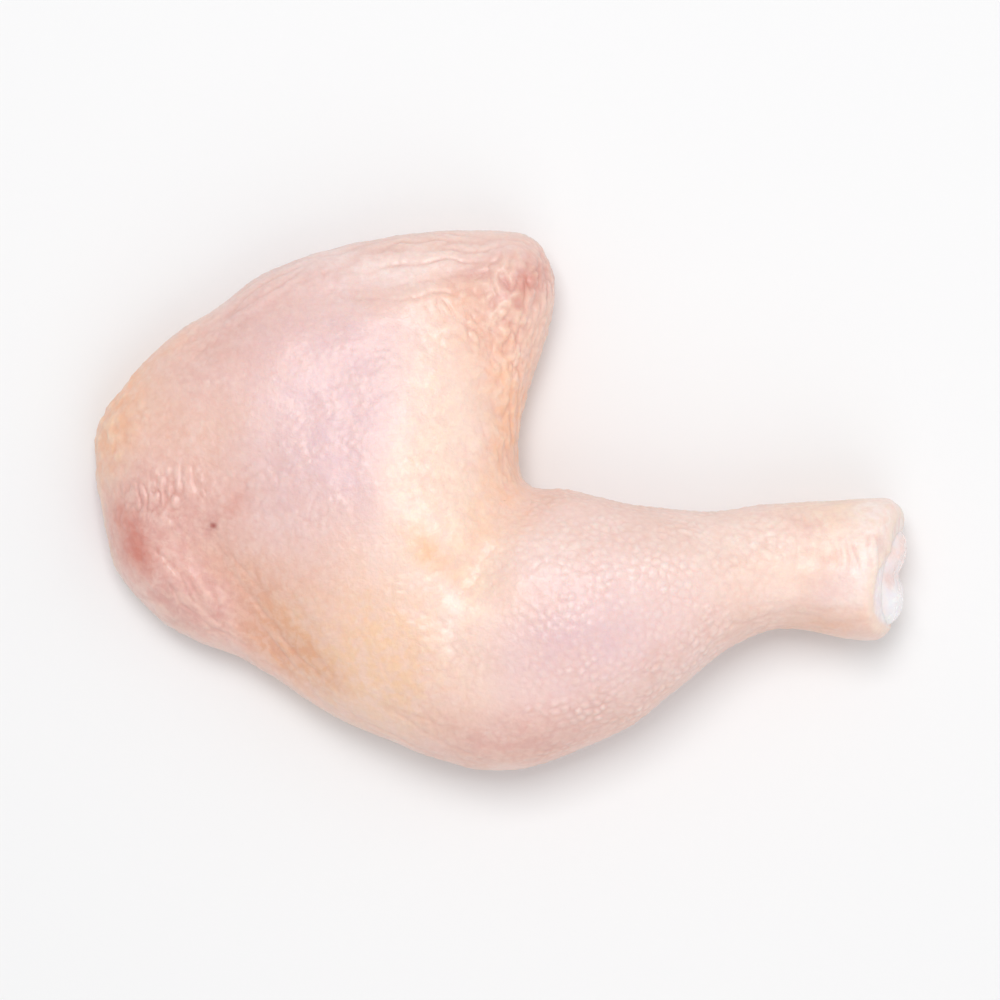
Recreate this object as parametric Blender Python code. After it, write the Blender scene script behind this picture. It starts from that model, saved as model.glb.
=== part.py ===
"""Raw chicken leg quarter, skin on, lying skin side up as it rests on a flat surface.

Units are metres, +Z is up. +X runs from the hip end of the thigh to the hock end of the
drumstick, and +Y points to the side that the leg folds towards. The origin is at the
middle of the underside. Two solids: the leg itself, and the shank bone whose white joint
cap shows in the cut hock.
"""

import math
from collections import namedtuple

import bmesh
import bpy
import numpy as np
from mathutils import Vector
from mathutils.geometry import delaunay_2d_cdt

MM = 0.001

# Driving dimensions
LEG_LENGTH = 202 * MM
THIGH_THICKNESS = 41 * MM
CALF_THICKNESS = 47 * MM
SHANK_THICKNESS = 31 * MM
HOCK_THICKNESS = 33 * MM

# Places on the plan are given in hundredths of the leg's length, from its middle.
HUNDREDTH = LEG_LENGTH / 100

# The outline seen from above. It starts beyond the hock on the side of the fold, runs along
# the drumstick into the fold, round the thigh and back along the front of the knee and the
# drumstick. Both ends run on past the hock, where the cut ends them.
OUTLINE = [
    (61.9, 1.0), (45.5, 0.8), (33.7, 0.2), (24.8, -0.8), (14.9, 0.3), (7.9, 2.0), (3.2, 2.5),
    (2.3, 6.4), (3.2, 12.9), (5.2, 19.3), (6.6, 27.2), (3.8, 32.5), (-4.5, 33.6),
    (-13.0, 33.1), (-22.8, 30.8), (-29.7, 28.2), (-35.2, 24.1), (-41.0, 20.4), (-46.1, 14.9),
    (-49.6, 9.9), (-50.0, 4.5), (-48.6, -4.5), (-46.9, -9.6), (-43.5, -13.4), (-38.0, -16.9),
    (-31.2, -19.7), (-22.3, -25.2), (-14.9, -28.9), (0.0, -32.9), (14.9, -27.7),
    (22.3, -22.2), (27.7, -17.9), (33.0, -15.7), (43.5, -17.0), (61.9, -17.6),
]

# The form over the plan, named by where it is: x, y and reach in hundredths of the leg's
# length, then the height of the top, the height of the widest line round the side, and how
# far in from the side the top and the underside become level.
Spot = namedtuple("Spot", "x y reach top side shoulder belly")
SPOTS = {
    "thigh_crown": Spot(-16, 5, 15, THIGH_THICKNESS, 12 * MM, 35 * MM, 12 * MM),
    "thigh_front": Spot(-13, -17, 11, 0.93 * THIGH_THICKNESS, 14 * MM, 30 * MM, 12 * MM),
    "thigh_back": Spot(-21, 21, 10, 0.70 * THIGH_THICKNESS, 10 * MM, 21 * MM, 10 * MM),
    "inner_flap": Spot(1, 23, 7.5, 0.68 * THIGH_THICKNESS, 11 * MM, 14 * MM, 9 * MM),
    "hip": Spot(-42, 4, 9, 0.58 * THIGH_THICKNESS, 8 * MM, 19 * MM, 8 * MM),
    "hip_lobe": Spot(-34, -12, 8, 0.63 * THIGH_THICKNESS, 9 * MM, 18 * MM, 8 * MM),
    "knee": Spot(-2, -23, 9, 0.92 * CALF_THICKNESS, 17 * MM, 27 * MM, 15 * MM),
    "calf": Spot(9, -14, 9, CALF_THICKNESS, 20 * MM, 26 * MM, 18 * MM),
    "mid_drumstick": Spot(20, -11, 6.5, 0.85 * CALF_THICKNESS, 18 * MM, 18 * MM, 16 * MM),
    "shank": Spot(32, -8, 5.5, SHANK_THICKNESS, 15 * MM, 13 * MM, 13 * MM),
    "hock": Spot(44, -8.5, 6, HOCK_THICKNESS, 16 * MM, 14.5 * MM, 13.5 * MM),
}

# Soft valleys in the skin, as a path on the plan, a depth and a half width
Valley = namedtuple("Valley", "path depth half_width")
VALLEYS = {
    "knee_fold": Valley([(4, 3), (0, -2), (-3, -8)], 3.4 * MM, 7 * MM),
    "hip_valley": Valley([(-36, -6), (-30, -13), (-25, -22)], 3.4 * MM, 8 * MM),
    "back_crease": Valley([(-37, 20), (-24, 25), (-7, 28)], 1.4 * MM, 4.5 * MM),
    "flap_crease": Valley([(-3, 31), (-1.5, 22), (-0.5, 12)], 1.8 * MM, 5 * MM),
    "shank_groove": Valley([(26, -4.5), (35, -4.5), (44, -5)], 1.2 * MM, 4.5 * MM),
}
VALLEY_START = 12 * MM

# The hock's cut: where its foot crosses the drumstick's middle, its skew on the plan, how far
# its top lies behind its foot, how far up the drumstick that fades out, and its rounded rim
HOCK_CUT_X = 100 * MM
HOCK_CENTRE_Y = -17.5 * MM
HOCK_CUT_SKEW = math.radians(7)
HOCK_LEAN = 8 * MM
HOCK_LEAN_REACH = 30 * MM
HOCK_RIM_RADIUS = 5.5 * MM

# The mesh: how far in the rings beside the outline lie, and the gap between its points
WALL_STEP = 0.5 * MM
SPLINE_STEPS = 16
TOP_SPACING = 2.8 * MM
TOP_RINGS = (0.4 * MM, 1.5 * MM, 3.2 * MM, 5.6 * MM)
UNDER_SPACING = 5.5 * MM
UNDER_RINGS = (0.6 * MM, 2.4 * MM, 5.5 * MM)
RIM_STEPS = 6

# The shank bone runs from inside the calf to the hock, where its joint cap stands out of the
# cut. The radius of its shaft, the half sizes of its cap, the flare between them, and the
# groove between the two knuckles of the cap
BONE_START = Vector((20 * MM, -22 * MM, 21 * MM))
BONE_END = Vector((101.6 * MM, HOCK_CENTRE_Y, 16.5 * MM))
SHAFT_RADIUS = 4.2 * MM
CAP_HALF_WIDTH = 13.2 * MM
CAP_HALF_HEIGHT = 11.3 * MM
CAP_LENGTH = 8 * MM
CAP_BLUNTNESS = 0.42
FLARE_LENGTH = 18 * MM
GROOVE_DEPTH = 2 * MM
GROOVE_HALF_WIDTH = 3.2 * MM
BONE_SIDES = 20
SHAFT_RINGS = 8
CAP_RINGS = 8
BONE_CLEARANCE = 0.3 * MM

SKIN_COLOUR = (0.86, 0.63, 0.55, 1)
BONE_COLOUR = (0.91, 0.84, 0.80, 1)


def clear_scene():
    """Empties the scene that the script starts in."""
    for item in list(bpy.data.objects):
        bpy.data.objects.remove(item, do_unlink=True)


def make_material(name, colour, roughness):
    """A Principled material for one solid."""
    material = bpy.data.materials.new(name)
    material.use_nodes = True
    shader = material.node_tree.nodes["Principled BSDF"]
    shader.inputs["Base Color"].default_value = colour
    shader.inputs["Roughness"].default_value = roughness
    shader.inputs["Metallic"].default_value = 0.0
    return material


def add_object(name, bm, material):
    """Turns a bmesh into a named, smooth-shaded object."""
    mesh = bpy.data.meshes.new(name)
    bm.to_mesh(mesh)
    bm.free()
    mesh.materials.append(material)
    mesh.shade_smooth()
    item = bpy.data.objects.new(name, mesh)
    bpy.context.scene.collection.objects.link(item)
    return item


def mix(a, b, t, start, end):
    """The point between a, where t is at its start, and b, where it is at its end."""
    return ((end - t) * a + (t - start) * b) / (end - start)


def resample(path, step):
    """The same path with its points an even step apart."""
    lengths = np.linalg.norm(np.diff(path, axis=0), axis=1)
    along = np.concatenate([[0.0], np.cumsum(lengths)])
    places = np.linspace(0, along[-1], max(2, round(along[-1] / step) + 1))
    return np.column_stack([np.interp(places, along, path[:, i]) for i in (0, 1)])


def spline(places, step):
    """Points a step apart on a centripetal Catmull-Rom curve through places of the plan."""
    points = np.array(places) * HUNDREDTH
    points = np.vstack([2 * points[0] - points[1], points, 2 * points[-1] - points[-2]])
    fine = []
    for four in zip(points, points[1:], points[2:], points[3:]):
        gaps = [math.sqrt(np.linalg.norm(b - a)) for a, b in zip(four, four[1:])]
        knots = np.cumsum([0.0] + gaps)
        for t in np.linspace(knots[1], knots[2], SPLINE_STEPS, endpoint=False):
            near = [mix(four[i], four[i + 1], t, knots[i], knots[i + 1]) for i in range(3)]
            wide = [mix(near[i], near[i + 1], t, knots[i], knots[i + 2]) for i in range(2)]
            fine.append(mix(wide[0], wide[1], t, knots[1], knots[2]))
    return resample(np.array(fine + [points[-2]]), step)


def nearest_distance(points, line):
    """Distance from each point to the nearest point of a finely stepped line."""
    return np.sqrt(((points[:, None] - line[None]) ** 2).sum(-1).min(1))


def smooth_depth(points, walls):
    """Distance in from the walls: true beside them, rounded off in the middle, with no ridge."""
    middles = (walls[1:] + walls[:-1]) / 2
    lengths = np.linalg.norm(walls[1:] - walls[:-1], axis=1)
    squares = ((points[:, None] - middles[None]) ** 2).sum(-1)
    potential = (lengths / squares**2).sum(1)
    return (math.pi / 2 / potential) ** (1 / 3)


def cut_normal():
    """Direction on the plan in which the hock's cut faces."""
    return np.array([math.cos(HOCK_CUT_SKEW), -math.sin(HOCK_CUT_SKEW)])


def hock_distance(points):
    """How far each point of the plan lies inside the hock's cut."""
    return (np.array([HOCK_CUT_X, HOCK_CENTRE_Y]) - points) @ cut_normal()


def blend_spots(points):
    """The top, side, shoulder and belly at each point, blended from the spots by distance."""
    total = np.zeros(len(points))
    blended = np.zeros((len(points), 4))
    for spot in SPOTS.values():
        away = ((points / HUNDREDTH - (spot.x, spot.y)) ** 2).sum(1) / spot.reach**2
        weight = np.exp(-away / 2) + 1e-6 / (1 + away)
        total += weight
        blended += weight[:, None] * np.array(spot[3:])
    return (blended / total[:, None]).T


def round_in(depth, reach):
    """A quarter ellipse: 0 at the side, 1 from where the surface is level."""
    inward = np.clip(depth / reach, 0, 1)
    return np.sqrt(1 - (1 - inward) ** 2)


def valley_depth(points):
    """How far the valleys lower the top at each point."""
    lowered = np.zeros(len(points))
    for valley in VALLEYS.values():
        away = nearest_distance(points, spline(valley.path, 1 * MM)) / valley.half_width
        lowered += valley.depth * np.exp(-(away**2))
    return lowered


def side_height(points):
    """Height of the widest line round the side."""
    return blend_spots(points)[1]


def top_height(points, walls):
    """Height of the skin over the plan."""
    top, side, shoulder, _ = blend_spots(points)
    depth = smooth_depth(points, walls)
    end = round_in(hock_distance(points), HOCK_RIM_RADIUS)
    lowered = valley_depth(points) * round_in(depth, VALLEY_START) * end
    return side + (top - side) * round_in(depth, shoulder) * end - lowered


def under_height(points, walls):
    """Height of the underside, which is flat but for its rounded edge."""
    _, side, _, belly = blend_spots(points)
    depth = smooth_depth(points, walls)
    end = round_in(hock_distance(points), HOCK_RIM_RADIUS)
    return side * (1 - round_in(depth, belly) * end)


def lean_hock(points, heights):
    """The x of each point once the hock's cut leans back, so that it faces a little upwards."""
    share = np.clip(1 - hock_distance(points) / HOCK_LEAN_REACH, 0, 1) ** 2
    return points[:, 0] - HOCK_LEAN * (heights / HOCK_THICKNESS) ** 2 * share


def plan_outline(walls):
    """The closed outline: the walls as far as the hock, then across its cut with round corners."""
    inside = walls[hock_distance(walls) > HOCK_RIM_RADIUS]
    start, end = inside[0], inside[-1]
    out = cut_normal() * HOCK_RIM_RADIUS
    across = (start - end) / np.linalg.norm(start - end) * HOCK_RIM_RADIUS
    turns = np.linspace(0, math.pi / 2, RIM_STEPS)
    near = [end + across * (1 - math.cos(t)) + out * math.sin(t) for t in turns]
    far = [start - across * (1 - math.cos(t)) + out * math.sin(t) for t in turns[::-1]]
    return resample(np.vstack([inside, near, far]), TOP_SPACING)[:-1]


def is_inside(points, outline):
    """True for each point inside a closed outline."""
    inside = np.zeros(len(points), bool)
    for a, b in zip(outline, np.roll(outline, -1, 0)):
        beside = (a[1] > points[:, 1]) != (b[1] > points[:, 1])
        share = (points[beside, 1] - a[1]) / (b[1] - a[1])
        inside[beside] ^= points[beside, 0] < a[0] + share * (b[0] - a[0])
    return inside


def thin_out(points, gap):
    """Drops each point that lies closer than the gap to one that is kept already."""
    kept = points[:1]
    for point in points[1:]:
        if nearest_distance(point[None], kept)[0] > gap:
            kept = np.vstack([kept, point])
    return kept


def lattice(low, high, spacing):
    """Points of an equilateral lattice that fills a rectangle."""
    points = []
    for number, y in enumerate(np.arange(low[1], high[1], spacing * math.sqrt(3) / 2)):
        shift = spacing / 2 * (number % 2)
        points += [(x, y) for x in np.arange(low[0] + shift, high[0], spacing)]
    return np.array(points)


def plan_points(outline, rings, spacing):
    """Inner points of the plan: rings that follow the side, then a lattice across the middle."""
    along = np.roll(outline, -1, 0) - np.roll(outline, 1, 0)
    inward = np.column_stack([-along[:, 1], along[:, 0]])
    inward /= np.linalg.norm(along, axis=1)[:, None]
    border = resample(np.vstack([outline, outline[:1]]), WALL_STEP)
    kept = []
    for ring in rings:
        points = outline + inward * ring
        points = points[nearest_distance(points, border) > 0.9 * ring]
        kept.append(thin_out(points, 0.45 * spacing))
    middle = lattice(outline.min(0), outline.max(0), spacing)
    middle = middle[is_inside(middle, outline)]
    kept.append(middle[nearest_distance(middle, border) > rings[-1] + 0.7 * spacing])
    return np.vstack(kept)


def add_surface(bm, outline, inner, height, turned):
    """Adds the top or the underside: the plan in triangles, raised to its height."""
    plan = [Vector(point) for point in np.vstack([outline, inner])]
    border = [list(range(len(outline)))]
    places, _, faces, sources, _, _ = delaunay_2d_cdt(plan, [], border, 1, 1e-7)
    points = np.array([tuple(place) for place in places])
    at_side = np.array([min(group) < len(outline) for group in sources])
    heights = np.where(at_side, side_height(points), height(points))
    leaned = lean_hock(points, heights)
    verts = [bm.verts.new((x, point[1], z)) for x, point, z in zip(leaned, points, heights)]
    for face in faces:
        corners = [verts[i] for i in face]
        bm.faces.new(corners[::-1] if turned else corners)


def make_leg(material):
    """The leg without the socket of its bone: a top and an underside that meet at the side."""
    walls = spline(OUTLINE, WALL_STEP)
    outline = plan_outline(walls)
    top_points = plan_points(outline, TOP_RINGS, TOP_SPACING)
    under_points = plan_points(outline, UNDER_RINGS, UNDER_SPACING)
    bm = bmesh.new()
    add_surface(bm, outline, top_points, lambda points: top_height(points, walls), False)
    add_surface(bm, outline, under_points, lambda points: under_height(points, walls), True)
    bmesh.ops.remove_doubles(bm, verts=bm.verts, dist=0.001 * MM)
    return add_object("leg_quarter", bm, material)


def bone_stations(length):
    """Distance along the bone, half width, half height and share of the cap's end at each ring."""
    flare_start = length - CAP_LENGTH - FLARE_LENGTH
    stations = [(SHAFT_RADIUS / 2, SHAFT_RADIUS * 0.87, SHAFT_RADIUS * 0.87, 0)]
    for x in np.linspace(SHAFT_RADIUS, flare_start, SHAFT_RINGS // 2):
        stations.append((x, SHAFT_RADIUS, SHAFT_RADIUS, 0))
    for share in np.linspace(0, 1, SHAFT_RINGS)[1:]:
        flare = (1 - math.cos(math.pi * share)) / 2
        half_width = SHAFT_RADIUS + (CAP_HALF_WIDTH - SHAFT_RADIUS) * flare
        half_height = SHAFT_RADIUS + (CAP_HALF_HEIGHT - SHAFT_RADIUS) * flare
        stations.append((flare_start + FLARE_LENGTH * share, half_width, half_height, 0))
    for turn in np.linspace(0, math.pi / 2, CAP_RINGS + 1)[1:-1]:
        x = length - CAP_LENGTH + CAP_LENGTH * math.sin(turn)
        share = math.cos(turn) ** CAP_BLUNTNESS
        stations.append((x, CAP_HALF_WIDTH * share, CAP_HALF_HEIGHT * share, math.sin(turn)))
    return stations


def bone_bmesh():
    """The shank bone along its own +X: rings of points, closed by a point at either end."""
    length = (BONE_END - BONE_START).length
    bm = bmesh.new()
    rings = []
    for x, half_width, half_height, end in bone_stations(length):
        ring = []
        for turn in np.linspace(0, math.tau, BONE_SIDES, endpoint=False):
            y = half_width * math.cos(turn)
            groove = GROOVE_DEPTH * math.exp(-((y / GROOVE_HALF_WIDTH) ** 2))
            skew = y * math.tan(HOCK_CUT_SKEW)
            ring.append(bm.verts.new((x + end * (skew - groove), y, half_height * math.sin(turn))))
        rings.append(ring)
    for ring, following in zip(rings, rings[1:]):
        bmesh.ops.bridge_loops(bm, edges=loop_edges(bm, ring) + loop_edges(bm, following))
    close_ring(bm, rings[0], 0)
    close_ring(bm, rings[-1], length - GROOVE_DEPTH)
    bmesh.ops.triangulate(bm, faces=bm.faces)
    bmesh.ops.recalc_face_normals(bm, faces=bm.faces)
    return bm


def loop_edges(bm, ring):
    """The edges round a ring of points, made where they are missing."""
    edges = []
    for a, b in zip(ring, ring[1:] + ring[:1]):
        edges.append(bm.edges.get((a, b)) or bm.edges.new((a, b)))
    return edges


def close_ring(bm, ring, x):
    """Closes a ring with a fan of triangles to a point on the bone's axis."""
    tip = bm.verts.new((x, 0, 0))
    for a, b in zip(ring, ring[1:] + ring[:1]):
        bm.faces.new((a, b, tip))


def make_bone(name, material, grow):
    """The shank bone in its place, larger all round by grow."""
    bm = bone_bmesh()
    bm.normal_update()
    for vert in bm.verts:
        vert.co += vert.normal * grow
    along = (BONE_END - BONE_START).normalized()
    bmesh.ops.rotate(bm, verts=bm.verts, matrix=along.to_track_quat("X", "Z").to_matrix())
    bmesh.ops.translate(bm, verts=bm.verts, vec=BONE_START)
    places = np.array([vert.co for vert in bm.verts])
    for vert, x in zip(bm.verts, lean_hock(places[:, :2], places[:, 2])):
        vert.co.x = x
    return add_object(name, bm, material)


def cut_socket(leg, material):
    """Cuts the bone's socket out of the leg, with clearance all round the bone."""
    cutter = make_bone("bone_cutter", material, BONE_CLEARANCE)
    cut = leg.modifiers.new("bone_socket", "BOOLEAN")
    cut.operation = "DIFFERENCE"
    cut.solver = "EXACT"
    cut.object = cutter
    bpy.context.view_layer.update()
    evaluated = leg.evaluated_get(bpy.context.evaluated_depsgraph_get())
    hollowed = bpy.data.meshes.new_from_object(evaluated)
    leg.modifiers.clear()
    leg.data = hollowed
    bpy.data.objects.remove(cutter, do_unlink=True)


def centre_on_origin(items):
    """Moves the meshes together, so that the middle of their underside is at the origin."""
    corners = np.array([vert.co for item in items for vert in item.data.vertices])
    low, high = corners.min(0), corners.max(0)
    middle = Vector(((low[0] + high[0]) / 2, (low[1] + high[1]) / 2, low[2]))
    for item in items:
        for vert in item.data.vertices:
            vert.co -= middle


def main():
    """Builds the leg and its shank bone."""
    clear_scene()
    skin = make_material("skin", SKIN_COLOUR, 0.38)
    bone_white = make_material("bone_white", BONE_COLOUR, 0.3)
    leg = make_leg(skin)
    cut_socket(leg, skin)
    bone = make_bone("shank_bone", bone_white, 0)
    centre_on_origin([leg, bone])


main()
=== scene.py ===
import math
from collections import namedtuple
from functools import reduce
from itertools import product

import bmesh
import bpy
import numpy as np
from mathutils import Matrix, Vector
from mathutils.bvhtree import BVHTree
from mathutils.kdtree import KDTree


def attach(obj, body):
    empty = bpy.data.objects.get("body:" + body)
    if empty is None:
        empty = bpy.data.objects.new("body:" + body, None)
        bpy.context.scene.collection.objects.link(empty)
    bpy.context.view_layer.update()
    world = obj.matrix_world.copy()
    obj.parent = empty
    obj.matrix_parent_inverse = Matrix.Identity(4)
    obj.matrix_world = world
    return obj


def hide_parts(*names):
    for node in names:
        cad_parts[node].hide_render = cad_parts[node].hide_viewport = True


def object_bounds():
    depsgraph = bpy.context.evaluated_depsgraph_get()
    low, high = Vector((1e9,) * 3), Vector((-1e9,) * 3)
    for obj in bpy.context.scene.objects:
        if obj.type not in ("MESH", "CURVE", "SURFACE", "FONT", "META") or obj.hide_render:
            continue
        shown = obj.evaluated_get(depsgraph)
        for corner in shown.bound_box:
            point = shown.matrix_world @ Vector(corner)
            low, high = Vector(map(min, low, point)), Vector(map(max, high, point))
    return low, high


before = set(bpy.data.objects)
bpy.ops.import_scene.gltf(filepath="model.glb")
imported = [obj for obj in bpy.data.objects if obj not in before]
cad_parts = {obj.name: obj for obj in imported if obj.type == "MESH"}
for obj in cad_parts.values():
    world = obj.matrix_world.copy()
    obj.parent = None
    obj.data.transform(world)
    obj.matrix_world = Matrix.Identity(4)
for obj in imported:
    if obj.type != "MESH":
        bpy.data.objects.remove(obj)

# Raw chicken leg quarter, skin side up. +X runs from the hip to the hock, +Y to the side that
# the leg folds towards, and +Z up. Lengths are in metres, but the lists of patches, folds,
# ellipsoids and muscles give theirs in millimetres.
MM = 0.001
cad_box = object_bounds()
LENGTH = cad_box[1][0] - cad_box[0][0]

# Mesh of the skin: how near two corners count as one, how near the bone the walls of its socket
# lie, the size of the faces while the skin is shaped, the rounds that smooth it, how many
# triangles it keeps, and how far its mean surface lies inside the solid's
CORNER_GAP = 1e-7
SOCKET_GAP = 0.55 * MM
VOXEL = 0.52 * MM
SMOOTH_ROUNDS = 7
MOST_TRIANGLES = 190000
SINK = 0.4 * MM

# Follicles: the gap between them, the radius and height of their domes, and the width and
# depth of the valleys that part them
FOLLICLE_GAP = 2.0 * MM
FOLLICLE_RADIUS = 1.2 * MM
FOLLICLE_HEIGHT = 0.32 * MM
VALLEY_WIDTH = 0.45 * MM
VALLEY_DEPTH = 0.08 * MM

# The rest of the skin's relief: broad and small lumps, globules of fat, gathers along the
# lower edge, the net of fine crinkles, the lip where the skin stops, and the skin's thickness
BROAD_LUMPS = 0.45 * MM
SMALL_LUMPS = 0.25 * MM
GLOBULE_HEIGHT = 0.5 * MM
GATHER_HEIGHT = 0.9 * MM
NET_DEPTH = 0.09 * MM
LIP_HEIGHT = 0.3 * MM
SKIN_THICKNESS = 1.0 * MM

# The bare flesh: its fibres, its soft unevenness, the seams between its muscles and how far
# each muscle bulges between them
FIBRE_HEIGHT = 0.12 * MM
FLESH_LUMPS = 0.25 * MM
SEAM_DEPTH = 0.3 * MM
MUSCLE_BULGE = 0.7 * MM

# The joint cap's unevenness and its faint ribs
CAP_LUMPS = 0.2 * MM
CAP_RIBS = 0.05 * MM

# The camera: its lens and sensor in millimetres, the share of the picture's width that the leg
# takes, and the height that this share is measured at
LENS = 150
SENSOR = 36
LEG_SHARE = 0.82
MIDDLE_HEIGHT = 20 * MM

# The range that most values of a noise node lie in, and the numbers of a mix node's sockets: its
# share and its two colours, and their mixture
USUAL = (0.35, 0.65)
MIX_INPUTS = (0, 6, 7)
MIX_OUTPUT = 2

# How far the change from one bare shape to the next is softened, as a share of their sizes
BLEND = 0.05

# Soft ellipses on the plan: middle, half sizes, turn of the long side in degrees and strength.
# Each layer colours the skin; some patches are painted shade and some are painted light where the
# form's valleys, edges and slopes lie, and lumpy is where globules of fat raise it.
Patch = namedtuple("Patch", "x y long short turn strength")
PATCHES = {
    "muscle": [
        Patch(-41, 15, 27, 20, 58, 1.0),
        Patch(-33, 15, 13, 7, 75, 0.55),
        Patch(-72, 6, 14, 11, 90, 0.3),
        Patch(-54, 40, 20, 12, 28, 0.5),
        Patch(-30, 38, 12, 9, 20, 0.45),
        Patch(18, -32, 27, 20, 20, 0.9),
        Patch(40, -22, 16, 10, 15, 0.3),
        Patch(-30, 58, 30, 6, 4, 0.6),
        # Painted shadow in the dip between the hock's two knuckles
        Patch(83, -19.5, 8, 3.5, 25, 0.8),
        Patch(8, -12, 12, 6, 0, 0.15),
    ],
    "fat": [
        Patch(-15, 22, 34, 13, 90, 0.9),
        Patch(-12, -10, 18, 10, 110, 1.0),
        Patch(-12, -34, 20, 10, 110, 0.6),
        Patch(68, -14, 26, 12, 0, 0.7),
        Patch(86, -3, 14, 7, 0, 0.9),
        Patch(-33, -51, 14, 5, 152, 0.5),
        Patch(-84, -27, 10, 4, 130, 0.4),
    ],
    "yellow": [
        Patch(-16, -12, 7, 3, 145, 1.0),
        Patch(-5, -6, 10, 5, 75, 0.6),
        Patch(-28, -36, 21, 12, 120, 0.95),
        Patch(-48, -36, 19, 7, 130, 0.9),
        Patch(88, -1, 7, 3.5, 5, 0.6),
        Patch(-95, 18, 13, 9, 70, 0.8),
    ],
    "orange": [
        Patch(-97, 19, 16, 8, 66, 1.0),
        Patch(3, 20, 26, 6, 84, 0.85),
        Patch(-15, -12, 7, 2.5, 150, 0.4),
        Patch(-86, 34, 16, 5, 44, 0.6),
        Patch(-6, 46, 13, 9, 120, 0.6),
    ],
    "pink": [
        Patch(-78, -4, 20, 14, 140, 0.9),
        Patch(-86, -14, 16, 9, 110, 0.5),
        Patch(6, 54, 10, 7, 60, 0.9),
        Patch(-70, 34, 20, 9, 30, 0.5),
        Patch(-50, 52, 26, 3, 28, 0.3),
        Patch(-74, -24, 20, 7, 140, 0.7),
        Patch(74, -6.5, 3.2, 2.2, 30, 0.7),
        # Darker pink along the drumstick's lower edge: painted shade
        Patch(6, -58, 24, 8, 5, 0.8),
        Patch(97, -10, 4, 7, 90, 0.3),
        Patch(-80, -27, 15, 6, 140, 0.35),
        Patch(-1, 57, 9, 5, 0, 1.0),
        Patch(-4, 47, 12, 7, 120, 0.4),
        Patch(-70, -6.3, 3, 3, 0, 0.5),
        # Painted shade in the valley between the thigh and the hip's lower lobe
        Patch(-51, -19, 14, 5, 27, 0.3),
    ],
    "pale": [
        Patch(38, -18, 24, 11, 0, 0.35),
        Patch(-11.5, -25, 12, 2.4, 98, 0.6),
        Patch(91, -16, 14, 8, 90, 0.9),
        Patch(62, -8, 16, 5, 0, 0.5),
        # Painted light on the hock's upper corner, which slopes away from the lamps
        Patch(95, -3, 6, 5, 0, 0.8),
        # Paler along the thigh's top edge: pale skin and painted light
        Patch(-27, 59, 26, 5, 5, 0.85),
        Patch(18, -8, 14, 6, 0, 0.3),
        Patch(8, -12, 12, 6, 0, 0.45),
        Patch(93.5, -11, 6, 3.5, 95, 0.6),
    ],
    "red": [
        Patch(-90, -9.5, 8.5, 4.5, 138, 1.0),
        Patch(8, 51, 5, 3, 60, 0.8),
        Patch(-64, -1, 5, 3, 100, 0.45),
    ],
    "spot": [Patch(-70, -6.3, 0.9, 0.9, 0, 1.0)],
    # Tan skin, and painted shade in the valley between the thigh and the hip's lower lobe and along
    # the lower edges
    "tan_and_shade": [
        Patch(-62, -25, 20, 7, 126, 1.0),
        Patch(-74, 12, 14, 11, 90, 0.4),
        Patch(-52, -20, 14, 6, 126, 0.4),
        Patch(-49, -39, 15, 5, 142, 0.9),
        Patch(82, -31, 14, 4, 0, 0.6),
        Patch(8, -62, 30, 5, 10, 0.35),
    ],
    "lumpy": [
        Patch(-8, -8, 10, 6, 110, 0.5),
        Patch(-97, 17, 14, 8, 65, 0.9),
        Patch(3, 50, 12, 9, 70, 0.9),
        Patch(2, 24, 22, 6, 84, 0.6),
        Patch(88, -4, 8, 5, 0, 0.3),
        Patch(-12, 20, 30, 10, 90, 0.3),
    ],
}

# Where the skin is folded: a patch on the plan whose turn is the way the folds run, then the
# gap between the folds, their depth and how many times longer than wide they are
Fold = namedtuple("Fold", "x y long short turn strength gap depth stretch")
FOLDS = [
    Fold(-60, 50, 26, 5, 36, 0.8, 2.8, 0.8, 9),
    Fold(-20, 60, 28, 6, 4, 1.0, 2.4, 0.9, 8),
    Fold(-22, 51, 22, 4, 8, 0.7, 2.6, 0.6, 7),
    Fold(5, 52, 10, 10, 66, 1.0, 1.9, 1.2, 1.8),
    Fold(-8, 43, 13, 8, 135, 0.9, 1.6, 0.9, 2.4),
    Fold(2, 38, 12, 7, 100, 0.9, 1.6, 0.9, 2.0),
    Fold(3, 24, 18, 5, 84, 0.9, 2.0, 0.8, 3.5),
    Fold(-82, 1, 6, 11, 100, 1.0, 1.4, 1.4, 2.0),
    Fold(-76, -21, 20, 9, 132, 0.9, 2.0, 0.8, 5),
    Fold(-94, 14, 14, 8, 75, 0.6, 2.6, 0.6, 3),
    Fold(-57, -29, 24, 8, 128, 0.9, 2.8, 0.7, 7),
    Fold(-8, -9, 12, 8, 58, 0.6, 2.6, 0.6, 3.5),
    Fold(-28, -53, 28, 6, 152, 0.8, 2.6, 0.7, 7),
    Fold(90, -12, 5, 14, 96, 1.0, 2.2, 0.8, 4),
    Fold(70, -30, 18, 5, 5, 0.8, 2.4, 0.6, 5),
    Fold(78, -3, 14, 5, 5, 0.6, 2.4, 0.5, 5),
]

# Bare flesh where the skin stops, at the hip's and the hock's ends and underneath
Ellipsoid = namedtuple("Ellipsoid", "middle half_sizes")
BARE_ENDS = [
    Ellipsoid((-97, -6, 4), (13, 14, 9)),
    Ellipsoid((99.5, -17.5, 15), (7, 14.4, 12.5)),
]
BARE_UNDER = [
    Ellipsoid((-36, 8, 0), (36, 34, 60)),
    Ellipsoid((-68, -4, 0), (30, 22, 60)),
    Ellipsoid((-30, 28, 0), (26, 24, 60)),
]

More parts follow.
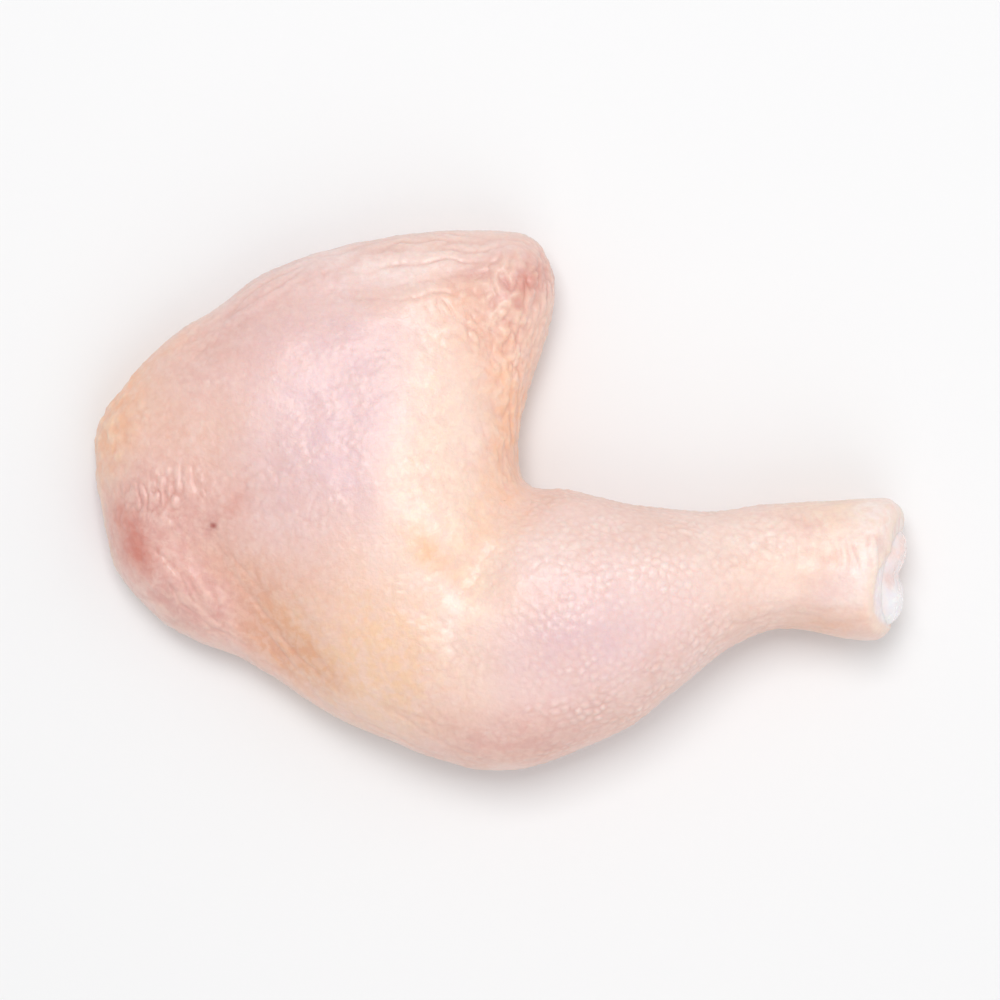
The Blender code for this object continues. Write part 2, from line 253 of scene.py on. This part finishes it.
# The muscles of the thigh that show underneath: from and to on the plan, half width, and how
# much lighter each one is
Muscle = namedtuple("Muscle", "start end half_width tone")
MUSCLES = [
    Muscle((-90, -18), (-18, -34), 9, 0.2),
    Muscle((-96, -2), (0, -13), 11, -0.3),
    Muscle((-90, 18), (-4, 14), 10, 0.3),
    Muscle((-70, 38), (-8, 30), 9, -0.1),
    Muscle((-56, 52), (0, 48), 8, 0.2),
]

# The white membrane over the joint's upper edge, in two lobes: the first is the bluer one
MEMBRANE = [
    Ellipsoid((98, -22.3, 24), (9.4, 10.4, 13)),
    Ellipsoid((100, -10, 20), (5.5, 6.2, 11)),
]


def noise(points, size, seed):
    """Smooth noise from about -1 to 1, with lumps about size across."""
    random = np.random.default_rng(seed)
    order = random.permutation(256)
    slopes = random.normal(size=(256, 3))
    slopes /= np.linalg.norm(slopes, axis=1)[:, None]
    scaled = points / size
    cell = np.floor(scaled).astype(int)
    inside = scaled - cell
    ease = inside**3 * (inside * (inside * 6 - 15) + 10)
    total = np.zeros(len(points))
    for corner in product((0, 1), repeat=3):
        x, y, z = (cell + corner).T
        key = order[(order[(order[x & 255] + y) & 255] + z) & 255]
        weight = np.prod(np.where(corner, ease, 1 - ease), axis=1)
        total += weight * (slopes[key] * (inside - corner)).sum(1)
    return 1.6 * total


def ramp(values, start, end):
    """Rises smoothly from 0 at start to 1 at end."""
    share = np.clip((values - start) / (end - start), 0, 1)
    return share * share * (3 - 2 * share)


def read_points(mesh):
    """The mesh's points and their normals."""
    points = np.empty(3 * len(mesh.vertices))
    mesh.vertices.foreach_get("co", points)
    normals = np.empty(3 * len(mesh.vertices))
    mesh.vertex_normals.foreach_get("vector", normals)
    return points.reshape(-1, 3), normals.reshape(-1, 3)


def write_points(mesh, points):
    """Moves the mesh's points."""
    mesh.vertices.foreach_set("co", points.ravel())
    mesh.update()


def write_mask(mesh, name, values):
    """Keeps a value from 0 to 1 for each point, for the materials to read."""
    mask = mesh.attributes.new(name, "FLOAT", "POINT")
    mask.data.foreach_set("value", np.clip(values, 0, 1).astype(np.float32))


def merged_mesh(node):
    """A bmesh of a CAD node, with the corners that lie on each other merged."""
    bm = bmesh.new()
    bm.from_mesh(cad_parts[node].data)
    bmesh.ops.remove_doubles(bm, verts=bm.verts, dist=CORNER_GAP)
    return bm


def close_socket(bm):
    """Replaces the bone's socket with flat flesh across its mouth."""
    bone = merged_mesh("shank_bone")
    tree = BVHTree.FromBMesh(bone)
    bone.free()
    near = {vert for vert in bm.verts if tree.find_nearest(vert.co)[3] < SOCKET_GAP}
    walls = [face for face in bm.faces if near.issuperset(face.verts)]
    bmesh.ops.delete(bm, geom=walls, context="FACES")
    rim = [edge for edge in bm.edges if edge.is_boundary]
    bmesh.ops.holes_fill(bm, edges=rim, sides=0)
    lids = [face for face in bm.faces if len(face.verts) > 4]
    bmesh.ops.triangulate(bm, faces=lids)


def new_object(name, data):
    """An object in the scene that shows a mesh, a lamp or a camera."""
    item = bpy.data.objects.new(name, data)
    bpy.context.scene.collection.objects.link(item)
    return item


def rounded(name, bm, levels):
    """An object that shows a bmesh with its edges rounded, once its modifiers are applied."""
    mesh = bpy.data.meshes.new(name)
    bm.to_mesh(mesh)
    bm.free()
    item = new_object(name, mesh)
    rounding = item.modifiers.new("rounding", "SUBSURF")
    rounding.levels = rounding.render_levels = levels
    return item


def apply_modifiers(item):
    """Keeps what the modifiers make as the object's own mesh."""
    bpy.context.view_layer.update()
    evaluated = item.evaluated_get(bpy.context.evaluated_depsgraph_get())
    mesh = bpy.data.meshes.new_from_object(evaluated)
    item.modifiers.clear()
    item.data = mesh
    mesh.shade_smooth()


def fine_leg():
    """The leg's form as an even mesh of small faces."""
    bm = merged_mesh("leg_quarter")
    close_socket(bm)
    leg = rounded("leg_skin", bm, 2)
    even = leg.modifiers.new("even", "REMESH")
    even.mode = "VOXEL"
    even.voxel_size = VOXEL
    smoothing = leg.modifiers.new("smoothing", "SMOOTH")
    smoothing.factor = 0.5
    smoothing.iterations = SMOOTH_ROUNDS
    apply_modifiers(leg)
    return leg


def lighten_leg(leg):
    """Fewer faces where the leg is smooth, so that its fine relief can keep them."""
    triangles = sum(len(face.vertices) - 2 for face in leg.data.polygons)
    fewer = leg.modifiers.new("fewer", "DECIMATE")
    fewer.ratio = MOST_TRIANGLES / triangles
    apply_modifiers(leg)

    # Merged faces can dip a little below the floor.
    points, _ = read_points(leg.data)
    points[:, 2] = np.maximum(points[:, 2], 0)
    write_points(leg.data, points)


def warped(points, size, amount, seed):
    """The points pushed about by noise, so that what is placed by them gets an uneven edge."""
    shift = np.column_stack([noise(points, size, seed + axis) for axis in range(3)])
    return points + amount * shift


def patch_mask(points, patches):
    """The sum of soft ellipses over the plan."""
    total = np.zeros(len(points))
    for patch in patches:
        turn = math.radians(patch.turn)
        x = points[:, 0] / MM - patch.x
        y = points[:, 1] / MM - patch.y
        along = (x * math.cos(turn) + y * math.sin(turn)) / patch.long
        across = (y * math.cos(turn) - x * math.sin(turn)) / patch.short
        total += patch.strength * np.exp(-(along**2 + across**2))
    return total


def fold_relief(points):
    """Height of the folds in the skin, and how far each point lies in a crease between them.

    The creases are long meandering lines, with a rounded ridge between each two of them.
    """
    relief = np.zeros(len(points))
    creases = np.zeros(len(points))
    moved = warped(points, 7 * MM, 1.2 * MM, 70)
    for number, fold in enumerate(FOLDS):
        turn = math.radians(fold.turn)
        x, y, z = moved.T
        along = x * math.cos(turn) + y * math.sin(turn)
        across = y * math.cos(turn) - x * math.sin(turn)
        stretched = np.column_stack([along / fold.stretch, across, z])
        lines = noise(stretched, 1.6 * fold.gap * MM, 80 + number)
        swell = 0.6 + 0.4 * noise(points, 3 * fold.gap * MM, 100 + number)
        share = np.clip(patch_mask(points, [fold]) * swell, 0, 1)
        ridge = ramp(np.abs(lines), 0, 0.4)
        relief += fold.depth * MM * share * (0.35 * ridge - 0.45 * (1 - ridge))
        creases += share * fold.depth * np.exp(-((lines / 0.13) ** 2))
    return relief, creases


def blended(first, second):
    """The larger of two values, with a soft change from the one to the other."""
    return BLEND * np.logaddexp(first / BLEND, second / BLEND)


def depth_inside(points, shapes):
    """How far inside one of the shapes each point is: below 0 outside, about 1 at a middle."""
    depths = []
    for shape in shapes:
        apart = (points / MM - shape.middle) / shape.half_sizes
        depths.append(1 - np.linalg.norm(apart, axis=1))
    return reduce(blended, depths)


def muscle_fibres(points):
    """Fibres that run along each muscle, and how far each point is from the nearest seam."""
    moved = warped(points, 20 * MM, 4 * MM, 60) / MM
    reaches = []
    fibres = []
    for number, muscle in enumerate(MUSCLES):
        run = np.subtract(muscle.end, muscle.start)
        length = np.linalg.norm(run)
        x, y = (moved[:, :2] - muscle.start).T
        along = (x * run[0] + y * run[1]) / length
        across = (y * run[0] - x * run[1]) / length
        beyond = along - np.clip(along, 0, length)
        reaches.append(np.hypot(across, beyond) / muscle.half_width)
        strands = np.column_stack([0.08 * along, across, moved[:, 2]])
        fibres.append(noise(strands * MM, 1.3 * MM, 31 + number) + muscle.tone)
    order = np.sort(reaches, axis=0)
    return np.choose(np.argmin(reaches, axis=0), fibres), order[1] - order[0]


def scatter(points, gap, seed):
    """Numbers of the points that are kept when no two may lie closer than the gap."""
    random = np.random.default_rng(seed)
    cells = {}
    kept = []
    for number in random.permutation(len(points)):
        point = points[number]
        cell = tuple((point // gap).astype(int))
        around = product((-1, 0, 1), repeat=3)
        near = [cells.get((cell[0] + a, cell[1] + b, cell[2] + c)) for a, b, c in around]
        near = [other for group in near if group for other in group]
        if near and min(((points[near] - point) ** 2).sum(1)) < gap * gap:
            continue
        cells.setdefault(cell, []).append(number)
        kept.append(number)
    return kept


def nearest_two(points, seeds):
    """How far each point is from its nearest seed and from the next, and the nearest's number."""
    tree = KDTree(len(seeds))
    for number, seed in enumerate(seeds):
        tree.insert(seed, number)
    tree.balance()
    found = []
    for point in points:
        (_, number, near), (_, _, far) = tree.find_n(point, 2)
        found.append((near, far, number))
    near, far, numbers = np.array(found).T
    return near, far, numbers.astype(int)


def follicle_relief(points):
    """The domes of the follicles, uneven in size, and the shallow valleys that part them.

    They are strongest on the drumstick and fade out towards the hock.
    """
    moved = warped(points, 7 * MM, 1.3 * MM, 24)
    seeds = moved[scatter(moved, FOLLICLE_GAP, 20)]
    near, far, numbers = nearest_two(moved, seeds)
    swell = np.random.default_rng(27).uniform(0.25, 1.0, len(seeds))[numbers]
    dome = swell * np.clip(1 - (near / FOLLICLE_RADIUS) ** 2, 0, 1) ** 1.5
    border = np.exp(-(((far - near) / VALLEY_WIDTH) ** 2))
    drumstick = ramp(points[:, 0], -8 * MM, 20 * MM)
    hock = ramp(points[:, 0], 55 * MM, 80 * MM)
    amount = (0.45 + 0.55 * drumstick) * (1 - 0.8 * hock)
    amount *= 0.7 + 0.8 * np.clip(noise(points, 9 * MM, 21), -0.6, 0.6)
    return dome * amount, border * amount


def colour_layers(points):
    """The strength of each layer of patches at each point, with the patches' edges uneven."""
    plan = warped(points, 16 * MM, 4 * MM, 50)
    plan = warped(plan, 5 * MM, 1.0 * MM, 54)
    masks = {name: patch_mask(plan, patches) for name, patches in PATCHES.items()}

    # The dark spot is smaller than the unevenness, so it stays as it is.
    masks["spot"] = patch_mask(points, PATCHES["spot"])
    return masks


def bare_depths(points, normals):
    """How far inside the bare flesh and inside the white membrane each point is.

    Underneath, the flesh shows only where the leg's surface faces almost straight down.
    """
    edge = warped(points, 11 * MM, 2.6 * MM, 40)
    end_depth = depth_inside(warped(edge, 4 * MM, 0.7 * MM, 44), BARE_ENDS)
    under_depth = np.minimum(depth_inside(edge, BARE_UNDER), -0.8 - normals[:, 2])
    white_depth = depth_inside(warped(points, 4 * MM, 0.8 * MM, 47), MEMBRANE)
    return np.maximum(blended(end_depth, under_depth), white_depth), white_depth


def skin_relief(points, lumpy, lip):
    """The height of the skin's lumps, folds, gathers and follicles, and the masks they give."""
    lumps = BROAD_LUMPS * noise(points, 19 * MM, 1) + SMALL_LUMPS * noise(points, 8 * MM, 2)
    globules = ramp(noise(points, 3.4 * MM, 3), -0.25, 0.5) * np.clip(lumpy, 0, 1)
    gathers = noise(points * (1, 1, 0.3), 3.4 * MM, 14) * ramp(points[:, 2], 15 * MM, 5 * MM)
    gathers *= ramp(noise(points, 24 * MM, 15), -0.3, 0.4)
    folds, creases = fold_relief(points)
    dome, border = follicle_relief(points)
    net = noise(warped(points, 5 * MM, 1.2 * MM, 12), 3.0 * MM, 11)
    net = np.exp(-((net / 0.2) ** 2)) * ramp(noise(points, 22 * MM, 13), -0.3, 0.6)

    relief = lumps + GLOBULE_HEIGHT * globules + GATHER_HEIGHT * gathers + folds - NET_DEPTH * net
    relief += FOLLICLE_HEIGHT * dome - VALLEY_DEPTH * border + LIP_HEIGHT * lip
    # The creases, the follicles' valleys and the net get a darker, redder tint, which is partly
    # painted shade.
    crease = 0.9 * creases + 0.2 * border + 0.25 * net
    return relief, {"globule": globules, "dome": dome, "crease": crease}


def meat_relief(points):
    """The height of the flesh's muscles, fibres and seams, and the masks that they give."""
    fibres, from_seam = muscle_fibres(points)
    seam = np.exp(-((from_seam / (0.13 + 0.09 * noise(points, 12 * MM, 38))) ** 2))
    film = ramp(noise(warped(points, 6 * MM, 2 * MM, 33), 14 * MM, 39), 0.0, 0.7)

    meat = FIBRE_HEIGHT * fibres + FLESH_LUMPS * noise(points, 6 * MM, 36) - SEAM_DEPTH * seam
    meat += MUSCLE_BULGE * (ramp(from_seam, 0, 0.8) - 0.5)
    seam *= 0.5 + 0.7 * noise(points, 6 * MM, 37)
    return meat, {"fibre": 0.5 + 0.45 * fibres, "seam": seam, "film": film}


def shape_leg(leg):
    """Gives the leg its skin and bare flesh, and keeps the masks for its colours.

    The flesh lies a skin's thickness lower, but for the membrane, which is flush with the skin.
    """
    points, normals = read_points(leg.data)
    masks = colour_layers(points)
    depth, white_depth = bare_depths(points, normals)
    membrane = ramp(white_depth, -0.1, 0)

    # The skin stops sharply at the bare flesh, with a lip, but runs softly into the membrane.
    bare = ramp(depth, 0, 0.07 + 0.13 * membrane)
    skin = 1 - bare
    lip = skin * ramp(depth, -0.3, -0.03)

    relief, skin_masks = skin_relief(points, masks.pop("lumpy"), lip)
    meat, meat_masks = meat_relief(points)
    meat = (meat - SKIN_THICKNESS) * (1 - membrane)

    # The skin's relief is weaker where it faces down.
    strength = 0.35 + 0.65 * ramp(normals[:, 2], -0.6, 0.1)
    move = skin * relief * strength + bare * meat - SINK
    shaped = points + normals * move[:, None]

    # The sink lifts the underside too, so the leg is lowered by as much.
    shaped[:, 2] = np.maximum(shaped[:, 2] - SINK, 0)
    write_points(leg.data, shaped)

    masks |= skin_masks | meat_masks
    masks["dome"] = masks["dome"] * skin
    masks["crease"] = masks["crease"] * skin
    masks |= {"bare": bare, "lip": lip, "membrane": membrane}
    masks["blush"] = ramp(points[:, 1], -18 * MM, -13 * MM)
    masks["hock"] = ramp(points[:, 0], 70 * MM, 85 * MM)
    for name, mask in masks.items():
        write_mask(leg.data, name, mask)


def srgb(red, green, blue):
    """A colour given as it shows on a screen, from 0 to 255, in linear light."""
    linear = []
    for value in (red / 255, green / 255, blue / 255):
        if value <= 0.04045:
            linear.append(value / 12.92)
        else:
            linear.append(((value + 0.055) / 1.055) ** 2.4)
    return (*linear, 1)


class Nodes:
    """Short ways to add nodes to one material."""

    def __init__(self, name):
        self.material = bpy.data.materials.new(name)
        self.material.use_nodes = True
        self.tree = self.material.node_tree
        self.shader = self.tree.nodes["Principled BSDF"]

    def add(self, kind, **settings):
        """A node with some of its settings changed."""
        node = self.tree.nodes.new(kind)
        for key, value in settings.items():
            setattr(node, key, value)
        return node

    def link(self, source, target):
        """Joins two sockets."""
        self.tree.links.new(source, target)

    def fill(self, socket, value):
        """Sets a socket to a number or a colour, or joins it to another socket."""
        if isinstance(value, (tuple, int, float)):
            socket.default_value = value
        else:
            self.link(value, socket)

    def mask(self, name):
        """The value kept for each point of the mesh under a name."""
        return self.add("ShaderNodeAttribute", attribute_name=name).outputs["Fac"]

    def noise(self, size, detail, roughness, distortion=0.0, stretch=(1, 1, 1)):
        """Noise with lumps about size across, in the frame's own space."""
        place = self.add("ShaderNodeTexCoord")
        mapping = self.add("ShaderNodeMapping")
        mapping.inputs["Scale"].default_value = stretch
        self.link(place.outputs["Object"], mapping.inputs["Vector"])
        node = self.add("ShaderNodeTexNoise")
        node.inputs["Scale"].default_value = 1 / size
        node.inputs["Detail"].default_value = detail
        node.inputs["Roughness"].default_value = roughness
        node.inputs["Distortion"].default_value = distortion
        self.link(mapping.outputs["Vector"], node.inputs["Vector"])
        return node.outputs["Fac"]

    def range(self, value, low, high, to_low=0.0, to_high=1.0):
        """Maps a value from one range to another, held at both ends."""
        node = self.add("ShaderNodeMapRange", interpolation_type="SMOOTHSTEP")
        self.link(value, node.inputs["Value"])
        ends = {"From Min": low, "From Max": high, "To Min": to_low, "To Max": to_high}
        for key, number in ends.items():
            node.inputs[key].default_value = number
        return node.outputs["Result"]

    def masked(self, name, amount):
        """The value kept under a name, times another value or a number."""
        node = self.add("ShaderNodeMath", operation="MULTIPLY")
        self.link(self.mask(name), node.inputs[0])
        self.fill(node.inputs[1], amount)
        return node.outputs["Value"]

    def mix(self, share, a, b):
        """Mixes two colours by a share, which is a value or a number."""
        node = self.add("ShaderNodeMix", data_type="RGBA")
        for number, value in zip(MIX_INPUTS, (share, a, b)):
            self.fill(node.inputs[number], value)
        return node.outputs[MIX_OUTPUT]

    def bump(self, height, distance, strength, normal=None):
        """A small relief in the surface's shading."""
        node = self.add("ShaderNodeBump")
        node.inputs["Distance"].default_value = distance
        node.inputs["Strength"].default_value = strength
        self.link(height, node.inputs["Height"])
        if normal:
            self.link(normal, node.inputs["Normal"])
        return node.outputs["Normal"]

    def set(self, **values):
        """Sets the shader's own sockets: names with spaces are written with underscores."""
        for key, value in values.items():
            self.shader.inputs[key.replace("_", " ")].default_value = value


def skin_colour(nodes, small):
    """Peach skin, with muscle, fat, blood and flesh showing through in soft patches, and painted
    shade and painted light in some of them.
    """
    broad = nodes.noise(14 * MM, 3, 0.5)
    colour = nodes.mix(nodes.range(broad, *USUAL), srgb(240, 206, 192), srgb(244, 214, 204))

    # The layers of patches, with the least share of each one, where the small noise is low
    patches = [
        ("muscle", 0.7, srgb(226, 193, 197)),
        ("fat", 0.5, srgb(250, 224, 206)),
        ("yellow", 0.4, srgb(243, 203, 167)),
        ("orange", 0.5, srgb(251, 193, 154)),
        # Tan, partly painted shade of the valleys and lower edges
        ("tan_and_shade", 0.5, srgb(233, 178, 142)),
        ("pink", 0.45, srgb(224, 175, 166)),
        ("pale", 0.6, srgb(253, 235, 228)),
        ("red", 0.85, srgb(210, 132, 118)),
        ("spot", 1.0, srgb(165, 78, 74)),
    ]
    for name, least, tint in patches:
        share = nodes.masked(name, nodes.range(small, 0.38, 0.62, least, 1.0))
        colour = nodes.mix(share, colour, tint)

    # What the relief changes, with the share of each: the crease tint is darker and redder, partly
    #     # painted shade
    relief = [
        ("dome", nodes.range(small, *USUAL, 0.16, 0.5), srgb(254, 234, 226)),
        ("globule", 0.45, srgb(254, 232, 208)),
        ("lip", 0.6, srgb(251, 230, 212)),
        ("crease", 0.6, srgb(209, 144, 130)),
    ]
    for name, amount, tint in relief:
        colour = nodes.mix(nodes.masked(name, amount), colour, tint)
    return colour


def flesh_colour(nodes, small):
    """Muscles with film and seams of fat, paler tendons at the hock, and the white membrane."""
    fibre = nodes.mask("fibre")
    film = nodes.masked("film", nodes.range(small, *USUAL, 0.3, 0.7))
    muscle = nodes.mix(fibre, srgb(203, 122, 114), srgb(228, 160, 148))
    muscle = nodes.mix(film, muscle, srgb(238, 198, 192))
    muscle = nodes.mix(nodes.mask("seam"), muscle, srgb(244, 212, 188))
    tendon = nodes.mix(fibre, srgb(222, 164, 150), srgb(244, 214, 198))
    flesh = nodes.mix(nodes.mask("hock"), muscle, tendon)

    strands = nodes.range(nodes.noise(1.3 * MM, 3, 0.6, 0.2, (1, 0.15, 1)), *USUAL)
    white = nodes.mix(strands, srgb(242, 228, 231), srgb(254, 245, 243))
    pinkish = nodes.mix(strands, srgb(243, 212, 204), srgb(253, 236, 226))
    white = nodes.mix(nodes.mask("blush"), white, pinkish)
    return nodes.mix(nodes.mask("membrane"), flesh, white)


def leg_colour(nodes):
    """Skin, and flesh where it is bare, with a faint darker grain over both."""
    small = nodes.noise(3.2 * MM, 4, 0.6, 0.4)
    grain = nodes.noise(1.1 * MM, 2, 0.6)
    colour = nodes.mix(nodes.mask("bare"), skin_colour(nodes, small), flesh_colour(nodes, small))
    return nodes.mix(nodes.range(grain, 0.3, 0.7, 0.0, 0.08), colour, srgb(200, 150, 140))


def skin_material():
    """Moist raw poultry skin."""
    nodes = Nodes("raw_skin")
    nodes.link(leg_colour(nodes), nodes.shader.inputs["Base Color"])
    moist = nodes.noise(5 * MM, 3, 0.6)
    nodes.link(nodes.range(moist, 0.3, 0.7, 0.3, 0.48), nodes.shader.inputs["Roughness"])
    pores = nodes.bump(nodes.noise(0.8 * MM, 3, 0.6), 0.15 * MM, 0.6)
    cells = nodes.bump(nodes.noise(1.8 * MM, 2, 0.5, 0.6), 0.35 * MM, 0.5, pores)
    nodes.link(cells, nodes.shader.inputs["Normal"])
    nodes.set(
        Subsurface_Weight=0.3,
        Subsurface_Radius=(1.0, 0.45, 0.3),
        Subsurface_Scale=1.8 * MM,
        Coat_Weight=0.28,
        Coat_Roughness=0.23,
        IOR=1.4,
    )
    return nodes.material


def cartilage_material():
    """Wet bluish-white joint cartilage, pinker on one knuckle and cream towards its edge."""
    nodes = Nodes("cartilage")
    cloud = nodes.noise(4 * MM, 3, 0.5)
    colour = nodes.mix(nodes.range(cloud, *USUAL), srgb(244, 237, 241), srgb(253, 248, 248))
    layers = [
        ("blush", 0.5, 1.0, srgb(248, 219, 212)),
        ("groove", 0.3, 0.7, srgb(234, 200, 194)),
        ("edge", 0.5, 1.0, srgb(252, 236, 228)),
    ]
    for name, least, most, tint in layers:
        share = nodes.masked(name, nodes.range(cloud, 0.3, 0.6, least, most))
        colour = nodes.mix(share, colour, tint)
    nodes.link(colour, nodes.shader.inputs["Base Color"])
    nodes.link(nodes.range(cloud, 0.3, 0.7, 0.22, 0.3), nodes.shader.inputs["Roughness"])
    nodes.set(
        Subsurface_Weight=0.5,
        Subsurface_Radius=(1.0, 0.7, 0.6),
        Subsurface_Scale=2 * MM,
        Coat_Weight=0.3,
        Coat_Roughness=0.12,
    )
    return nodes.material


def joint_cap():
    """The shank bone and its cap, slightly uneven, with masks for the cap's two knuckles."""
    cap = rounded("joint_cap", merged_mesh("shank_bone"), 3)
    apply_modifiers(cap)
    points, normals = read_points(cap.data)
    ribs = noise(points * (1, 1, 0.2), 2.2 * MM, 91)
    move = CAP_LUMPS * noise(points, 5 * MM, 90) + CAP_RIBS * ribs
    write_points(cap.data, points + normals * move[:, None])

    # Where each point lies across the cap, from -1 to 1, and how far from the uneven groove
    middle = (points.min(0) + points.max(0)) / 2
    half = (points.max(0) - points.min(0)) / 2
    across = ((points - middle) / half)[:, 1:]
    from_groove = across[:, 0] + 0.12 * noise(points, 6 * MM, 92) + 0.05 * noise(points, 2 * MM, 93)
    write_mask(cap.data, "edge", ramp(np.linalg.norm(across, axis=1), 0.85, 1.0))
    write_mask(cap.data, "blush", ramp(from_groove, -0.2, 0.6))
    write_mask(cap.data, "groove", np.exp(-((from_groove / 0.2) ** 2)))
    return cap


def add_floor():
    """A plain pale floor."""
    mesh = bpy.data.meshes.new("floor")
    half = 3.0
    corners = [(-half, -half, 0), (half, -half, 0), (half, half, 0), (-half, half, 0)]
    mesh.from_pydata(corners, [], [(0, 1, 2, 3)])
    floor = new_object("floor", mesh)
    nodes = Nodes("floor")
    nodes.set(Base_Color=(0.86, 0.86, 0.865, 1), Roughness=0.7)
    floor.data.materials.append(nodes.material)


def add_light(name, place, size, power):
    """A soft square light that looks at the leg."""
    lamp = bpy.data.lights.new(name, "AREA")
    lamp.size = size
    lamp.energy = power
    item = new_object(name, lamp)
    item.location = place
    item.rotation_euler = (-Vector(place)).to_track_quat("-Z", "Y").to_euler()


def add_camera():
    """Looks straight down, with the leg across most of the picture."""
    lens = bpy.data.cameras.new("camera")
    lens.lens = LENS
    lens.sensor_width = SENSOR
    shown = LENGTH / LEG_SHARE
    camera = new_object("camera", lens)
    camera.location = (0, 0, MIDDLE_HEIGHT + LENS / SENSOR * shown)
    bpy.context.scene.camera = camera


def light_scene():
    """Bright even studio light, a little stronger from the side of the fold."""
    world = bpy.data.worlds.new("studio")
    world.use_nodes = True
    background = world.node_tree.nodes["Background"]
    background.inputs["Color"].default_value = (1, 1, 1, 1)
    background.inputs["Strength"].default_value = 0.52
    bpy.context.scene.world = world
    bpy.context.scene.view_settings.view_transform = "Standard"
    add_light("key", (-0.1, 0.4, 1.3), 0.6, 8.6)
    add_light("fill", (0.3, -0.8, 0.9), 1.0, 3)
    add_light("side", (0.9, 0.3, 0.7), 0.8, 1.2)


add_camera()
light_scene()
add_floor()
leg = fine_leg()
shape_leg(leg)
lighten_leg(leg)
leg.data.materials.append(skin_material())
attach(leg, "root")
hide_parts("leg_quarter")

cap = joint_cap()
cap.data.materials.append(cartilage_material())
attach(cap, "root")
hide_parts("shank_bone")
